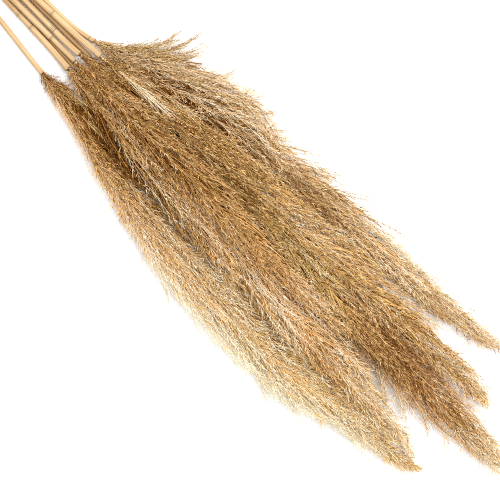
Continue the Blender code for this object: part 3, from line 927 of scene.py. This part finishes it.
# In millimetres: the radius in the leaf's sheath and above it, where the sheath ends, the
# last ring and how far back the next one is, how far the mouth flares, and, in radians,
# where the seam lies.
STRAWS = {
    1: {"radius": (2.05, 2.05), "sheath": -90, "rings": (-120, 110), "mouth": 0.0, "seam": 1.2},
    2: {"radius": (2.15, 2.45), "sheath": -40, "rings": (-53, 125), "mouth": 0.5, "seam": 2.4},
    3: {"radius": (2.05, 1.90), "sheath": -120, "rings": (-90, 120), "mouth": 0.0, "seam": 0.8},
    4: {"radius": (2.15, 1.75), "sheath": -23, "rings": (-100, 115), "mouth": 0.0, "seam": 1.9},
    5: {"radius": (2.15, 2.35), "sheath": -25, "rings": (-27, 130), "mouth": 0.2, "seam": 1.3},
    6: {"radius": (2.05, 2.05), "sheath": -150, "rings": (-110, 120), "mouth": 0.0, "seam": 2.2},
    7: {"radius": (2.25, 2.35), "sheath": -35, "rings": (-85, 125), "mouth": 0.1, "seam": 0.9},
    8: {"radius": (1.95, 1.85), "sheath": -2, "rings": (-130, 110), "mouth": 0.3, "seam": 1.5},
}
RING_RISE, RING_HALF = 0.28, 1.6
SEAM_STEP = 0.16
HOLLOW_DEPTH, HOLLOW_SHARE, HOLLOW_RINGS = 6.0, 0.62, 4
FOOT_GAP, END_ROOM = 0.4, 8
PLAIN_STEP, PLAIN_ROOM = 7, 3.5


def straw_profile(number):
    """Stations along a straw in millimetres: place, radius, and how dark the straw is there.

    The dark marks its joints and rims, and is painted shade inside its hollow ends.
    """
    straw, reed = STRAWS[number], REEDS[number]
    start = reed["stem"][0, 0] * MM_IN_M
    end = reed["plume"][0, 0] * MM_IN_M - FOOT_GAP
    inside, above = straw["radius"]

    def plain(x):
        return inside if x < straw["sheath"] else above

    marks = [(straw["sheath"] - 0.2, inside + 0.12, 0.1), (straw["sheath"], inside + 0.10, 0.75),
             (straw["sheath"] + 0.8, above, 0.35), (straw["sheath"] + 3.0, above, 0.0)]
    ring, spacing = straw["rings"]
    while ring > start + END_ROOM:
        r = plain(ring)
        marks += [(ring - 2.6, r, 0.0), (ring - RING_HALF, r + 0.04, 0.25),
                  (ring - 0.5, r + RING_RISE, 0.15), (ring, r + RING_RISE * 0.5, 0.55),
                  (ring + 0.5, r + RING_RISE, 0.3), (ring + RING_HALF, r, 0.1),
                  (ring + 3.4, r, 0.0)]
        ring -= spacing
    even = np.linspace(start + 0.5, end - 6, round((end - start) / PLAIN_STEP))
    marks += [(x, plain(x), 0.0) for x in even
              if all(abs(x - m[0]) > PLAIN_ROOM for m in marks)]
    marks.sort()
    first, last = plain(start), plain(end)
    hollow = first * HOLLOW_SHARE
    mouth = straw["mouth"]
    # The last number darkens into the hollow of the cut end and into the sheath's mouth: painted
    # shade in both hollows.
    return ([(start + HOLLOW_DEPTH, hollow * 0.98, 0.9), (start + 0.3, hollow, 0.6),
             (start, hollow + 0.15, 0.3), (start, first - 0.12, 0.2)] + marks
            + [(end - 4, last + 0.05, 0.0), (end - 1, last + 0.7 * mouth, 0.1),
               (end, last + mouth * 0.6, 0.5), (end - 0.1, last + mouth * 0.6 - 0.35, 0.6),
               (end - 2.5, last * 0.6, 0.9)])


print("a straw has", len(straw_profile(1)) * SIDES, "corners")

# %% Loft a straw
LOWEST_STRAW = 0.0001
SHARP_EDGE = math.radians(50)
UV_PER_METRE = 10


def make_straw(number, material):
    """A straw's rings and the faces between them, with both ends closed."""
    line, seam = REEDS[number]["line"], STRAWS[number]["seam"]
    profile = straw_profile(number)
    x = np.array([p[0] for p in profile]) / MM_IN_M
    y, z = smooth(x, line[:, 0], line[:, 1]), smooth(x, line[:, 0], line[:, 2])
    angles = 2 * math.pi * (np.arange(SIDES) + 0.5) / SIDES
    past_seam = ((angles - seam) % (2 * math.pi)) / (2 * math.pi)
    in_sheath = np.array([p[0] < STRAWS[number]["sheath"] for p in profile])
    corners, marks_and_hollow_shade, faces = [], [], []
    for n, (_, radius, dark) in enumerate(profile):
        wrapped = in_sheath[n] and n >= HOLLOW_RINGS
        lap = SEAM_STEP * (0.5 - past_seam) if wrapped else 0 * past_seam
        for a, extra in zip(angles, lap):
            r = (radius + extra) / MM_IN_M
            corners.append((x[n], y[n] + r * math.cos(a),
                            max(z[n] + r * math.sin(a), LOWEST_STRAW)))
            marks_and_hollow_shade.append(dark)
    for n in range(len(profile) - 1):
        for side in range(SIDES):
            after = (side + 1) % SIDES
            faces.append((n * SIDES + side, n * SIDES + after,
                          (n + 1) * SIDES + after, (n + 1) * SIDES + side))
    # The caps sit deep in the two hollows, so their middles are painted dark as shade.
    for ring in (0, len(profile) - 1):
        middle = len(corners)
        corners.append((x[ring], y[ring], z[ring]))
        marks_and_hollow_shade.append(0.9)
        for side in range(SIDES):
            faces.append((ring * SIDES + side, ring * SIDES + (side + 1) % SIDES, middle))
    mesh = bpy.data.meshes.new(f"stem_{number}_straw")
    mesh.from_pydata([Vector(c) - BUNCH_CENTRE for c in corners], [], faces)
    layer = mesh.attributes.new("marks_and_hollow_shade", "FLOAT", "POINT")
    layer.data.foreach_set("value", marks_and_hollow_shade)
    uv = mesh.uv_layers.new(name="along_straw")
    for face in mesh.polygons:
        wraps = {v % SIDES for v in face.vertices} >= {0, SIDES - 1}
        for corner in face.loop_indices:
            v = mesh.loops[corner].vertex_index
            u = (v % SIDES) / SIDES + (1.0 if wraps and v % SIDES == 0 else 0.0)
            uv.data[corner].uv = (u, mesh.vertices[v].co.x * UV_PER_METRE)
    work = bmesh.new()
    work.from_mesh(mesh)
    bmesh.ops.recalc_face_normals(work, faces=work.faces)
    work.to_mesh(mesh)
    work.free()
    mesh.shade_smooth()
    mesh.set_sharp_from_angle(angle=SHARP_EDGE)
    mesh.materials.append(material)
    straw = bpy.data.objects.new(f"stem_{number}_straw", mesh)
    bpy.context.scene.collection.objects.link(straw)
    return straw


print("a straw is sharp past", round(math.degrees(SHARP_EDGE)), "degrees")

# %% [markdown]
# ## The straw's finish
#
# Dry straw is a warm pale yellow with a soft waxy shine. Up close it is streaked lengthwise:
# ribs catch the light, some streaks are greener or browner, and small dark flecks sit where
# the leaf rubbed. A picture of straw would repeat itself, so the patterns are noise. All of
# it follows the straw, so the noise is stretched along the straw's own UV map. The joints and
# rims are darkened by the number that the mesh carries. The same number paints shade inside
# the hollow cut end and inside the sheath's mouth. Two straws that lie under others get a
# darker copy of the material, which is painted shade.

# %% The straw material
straw_look = bpy.data.node_groups.new("Straw look", "ShaderNodeTree")
new_socket(straw_look, "Color", "Pale", (0.85, 0.64, 0.32, 1))
new_socket(straw_look, "Color", "Streak", (0.60, 0.38, 0.14, 1))
new_socket(straw_look, "Color", "Dark", (0.12, 0.06, 0.02, 1))
new_socket(straw_look, "Color", "Colour", out=True)
new_socket(straw_look, "Float", "Roughness", out=True)
new_socket(straw_look, "Float", "Height", out=True)
inside = straw_look.nodes.new("NodeGroupInput")
outside = straw_look.nodes.new("NodeGroupOutput")
straw_map = straw_look.nodes.new("ShaderNodeUVMap")
straw_map.uv_map = "along_straw"


def stretched_noise(around, along, detail):
    """Noise drawn out along the straw: so many streaks around it, and so many along 10 cm."""
    stretch = straw_look.nodes.new("ShaderNodeMapping")
    stretch.inputs["Scale"].default_value = (around, along, 1.0)
    straw_look.links.new(straw_map.outputs["UV"], stretch.inputs["Vector"])
    noise = straw_look.nodes.new("ShaderNodeTexNoise")
    noise.inputs["Scale"].default_value = 1.0
    noise.inputs["Detail"].default_value = detail
    straw_look.links.new(stretch.outputs["Vector"], noise.inputs["Vector"])
    return noise.outputs["Fac"]


RIB_TINT = (0.82, 0.74, 0.62, 1)
ribs = stretched_noise(around=34.0, along=1.2, detail=2.0)
streaks = stretched_noise(around=7.0, along=2.2, detail=3.0)
flecks = stretched_noise(around=14.0, along=26.0, detail=1.0)
streaked = mixed(straw_look, ramp(straw_look, streaks, 0.42, 0.68), inside.outputs["Pale"],
                 inside.outputs["Streak"])
ribbed = mixed(straw_look, ramp(straw_look, ribs, 0.38, 0.72), streaked, RIB_TINT,
               "MULTIPLY")
flecked = mixed(straw_look, ramp(straw_look, flecks, 0.70, 0.76), ribbed,
                inside.outputs["Dark"])
# The mesh's number darkens the joints and rims, and paints shade inside the hollow ends.
marked = straw_look.nodes.new("ShaderNodeAttribute")
marked.attribute_name = "marks_and_hollow_shade"
straw_look.links.new(mixed(straw_look, marked.outputs["Fac"], flecked,
                           inside.outputs["Dark"]), outside.inputs["Colour"])
straw_look.links.new(ribs, outside.inputs["Height"])
WAXY, DULL = 0.34, 0.62
rough = straw_look.nodes.new("ShaderNodeMapRange")
rough.inputs["To Min"].default_value = WAXY
rough.inputs["To Max"].default_value = DULL
straw_look.links.new(streaks, rough.inputs["Value"])
straw_look.links.new(rough.outputs["Result"], outside.inputs["Roughness"])
print("straw look group:", len(straw_look.nodes), "nodes")

# %% The eight straws
RIB_STRENGTH, RIB_HEIGHT = 0.5, 0.0002


def straw_material(name, pale, streak):
    material = bpy.data.materials.new(name)
    material.use_nodes = True
    nodes, links = material.node_tree.nodes, material.node_tree.links
    shader = nodes["Principled BSDF"]
    look = nodes.new("ShaderNodeGroup")
    look.node_tree = straw_look
    look.inputs["Pale"].default_value = (*pale, 1)
    look.inputs["Streak"].default_value = (*streak, 1)
    links.new(look.outputs["Colour"], shader.inputs["Base Color"])
    links.new(look.outputs["Roughness"], shader.inputs["Roughness"])
    bump = nodes.new("ShaderNodeBump")
    bump.inputs["Strength"].default_value = RIB_STRENGTH
    bump.inputs["Distance"].default_value = RIB_HEIGHT
    links.new(look.outputs["Height"], bump.inputs["Height"])
    links.new(bump.outputs["Normal"], shader.inputs["Normal"])
    return material


# Straws 3 and 6 lie under the raised straws beside them. They get a darker copy of the straw:
# painted shade.
PALE_STRAW = straw_material("pale_straw", (0.60, 0.42, 0.215), (0.45, 0.28, 0.125))
PAINTED_SHADE_STRAW = straw_material("painted_shade_straw", (0.50, 0.31, 0.13), (0.34, 0.19, 0.07))
IN_PAINTED_SHADE = (3, 6)
for number in STRAWS:
    straw = make_straw(number, PAINTED_SHADE_STRAW if number in IN_PAINTED_SHADE else PALE_STRAW)
    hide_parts(f"stem_{number}")
    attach(straw, "root")
    print("stem", number, "has", len(straw.data.polygons), "faces")

# %% [markdown]
# ## The stage
#
# The photograph looks straight down on a white table, with soft light that comes mostly
# from its upper right. A wide sheet is the table, a sun lamp made as wide as a window is the
# light, and a bright plain sky fills the shadows. The camera looks straight down, turned so
# that the bunch runs from the upper left to the lower right.
#
# Denoising is off, because it would take fine husks for noise and smooth them away. The
# pixel filter is a little narrower than usual for the same reason.

# %% Table and camera
TURN = math.atan2(0.6820, 0.7314)
LOOK_AT = Vector((0.1474, -0.0092, 0.020))
FRAME_WIDTH = 0.375
LENS, SENSOR = 150.0, 36.0
TABLE_HALF, TABLE_WHITE, TABLE_ROUGHNESS = 4, 0.96, 0.8
scene = bpy.context.scene
floor_mesh = bpy.data.meshes.new("table")
floor_mesh.from_pydata([(TABLE_HALF * x, TABLE_HALF * y, 0)
                        for x, y in ((-1, -1), (1, -1), (1, 1), (-1, 1))],
                       [], [(0, 1, 2, 3)])
floor = bpy.data.objects.new("table", floor_mesh)
scene.collection.objects.link(floor)
white = bpy.data.materials.new("white_table")
white.use_nodes = True
white_shader = white.node_tree.nodes["Principled BSDF"]
white_shader.inputs["Base Color"].default_value = (TABLE_WHITE, TABLE_WHITE, TABLE_WHITE, 1)
white_shader.inputs["Roughness"].default_value = TABLE_ROUGHNESS
floor_mesh.materials.append(white)

camera_data = bpy.data.cameras.new("camera")
camera_data.lens, camera_data.sensor_width = LENS, SENSOR
camera = bpy.data.objects.new("camera", camera_data)
camera.location = LOOK_AT + Vector((0, 0, FRAME_WIDTH * LENS / SENSOR))
camera.rotation_euler = (0, 0, TURN)
scene.collection.objects.link(camera)
scene.camera = camera
print("camera at", [round(c, 3) for c in camera.location])

# %% Light
WINDOW_STRENGTH, WINDOW_SPREAD = 3.05, math.radians(50)
WINDOW_RIGHT, WINDOW_UP, WINDOW_ABOVE = 0.50, 0.45, 1.5  # as the camera sees it
SKY_STRENGTH = 0.98
right = Vector((math.cos(TURN), math.sin(TURN), 0))
up = Vector((-math.sin(TURN), math.cos(TURN), 0))
lamp_data = bpy.data.lights.new("window", "SUN")
lamp_data.energy, lamp_data.angle = WINDOW_STRENGTH, WINDOW_SPREAD
lamp = bpy.data.objects.new("window", lamp_data)
towards = right * WINDOW_RIGHT + up * WINDOW_UP + Vector((0, 0, WINDOW_ABOVE))
towards = towards.normalized()
lamp.rotation_euler = towards.to_track_quat("Z", "Y").to_euler()
scene.collection.objects.link(lamp)
world = bpy.data.worlds.new("sky")
world.use_nodes = True
sky = world.node_tree.nodes["Background"]
sky.inputs["Color"].default_value = (1.0, 1.0, 1.0, 1)
sky.inputs["Strength"].default_value = SKY_STRENGTH
scene.world = world
scene.view_settings.view_transform = "Standard"
scene.cycles.use_denoising = False
scene.cycles.filter_width = 1.0
print("the window is", round(math.degrees(towards.angle(Vector((0, 0, 1))))),
      "degrees from straight above")
